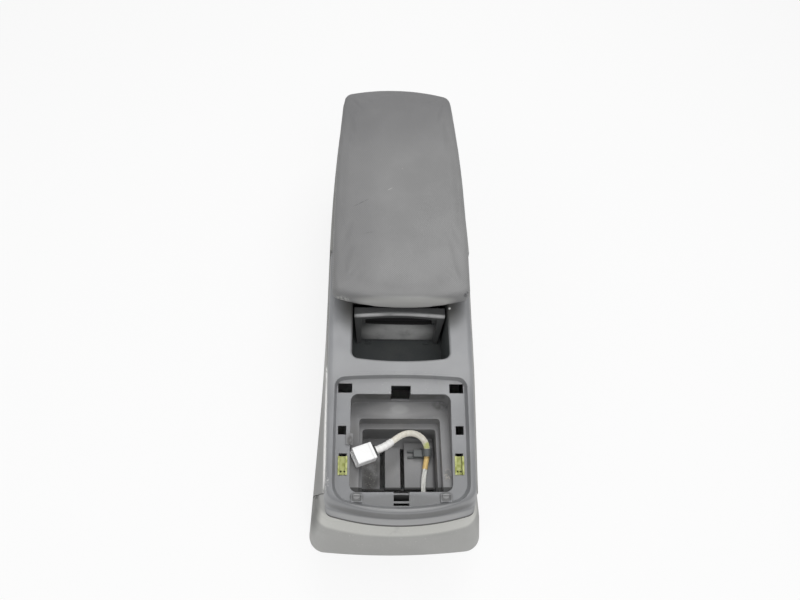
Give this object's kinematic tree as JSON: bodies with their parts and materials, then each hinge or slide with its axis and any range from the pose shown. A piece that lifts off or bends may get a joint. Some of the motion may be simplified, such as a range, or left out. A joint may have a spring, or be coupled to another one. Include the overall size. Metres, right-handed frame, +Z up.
{
  "type": "car centre armrest console",
  "caption": "Floor console with a padded hinged armrest lid over a storage bin, a pocket with a sliding tray, and an open trim recess with a wiring plug.",
  "frame": {"origin": "on the floor, under the middle of the console's length and width", "axes": "+X to the right seen from the front, +Y rearwards along the console, +Z up"},
  "size_m": [0.2024, 0.56, 0.228],
  "materials": {
    "console_plastic": "fine-grained pale moulding",
    "deck_plastic": "fine-grained satin moulding",
    "liner_plastic": "dark matt moulding",
    "tray_plastic": "dull moulding with dust",
    "drawer_plastic": "satin moulding",
    "bin_plastic": "dark matt moulding",
    "lid_cover": "fine-grained soft vinyl",
    "lid_plastic": "ribbed dark moulding",
    "passivated_steel": "yellow-green passivated spring steel",
    "hinge_steel": "zinc-plated pressed steel",
    "rubber": "matt rubber",
    "harness_braid": "pale braided sleeve",
    "connector_white": "white moulding",
    "retainer_plastic": "dark grey moulding",
    "glide_felt": "felt strip"
  },
  "bodies": {
    "console": {"side_housing": "console_plastic", "front_skirt": "console_plastic", "upper_panel": "deck_plastic", "panel_clip_left": "passivated_steel", "panel_clip_right": "passivated_steel", "inner_tray": "tray_plastic", "harness_grommet": "rubber", "harness_cable": "harness_braid", "harness_retainer": "retainer_plastic", "harness_connector": "connector_white", "pocket_liner": "liner_plastic", "glide_strips": "glide_felt", "storage_bin": "bin_plastic", "hinge_bracket": "hinge_steel", "bracket_screws": "hinge_steel", "hinge_pin": "hinge_steel"},
    "lid": {"hinge_leaf": "hinge_steel", "leaf_screws": "hinge_steel", "lid_base": "lid_plastic", "lid_bumpers": "rubber", "lid_pad": "lid_cover"},
    "drawer": {"drawer_front": "drawer_plastic", "drawer_box": "drawer_plastic"}
  },
  "joints": [
    {"name": "lid_hinge", "type": "hinge", "parent": "console", "child": "lid", "pos_m": [0, 0.262, 0.207], "axis": [-1, 0, 0], "range_deg": [0, 85]},
    {"name": "drawer_slide", "type": "slide", "parent": "console", "child": "drawer", "axis": [0, -1, 0], "range_m": [0, 0.048]}
  ]
}
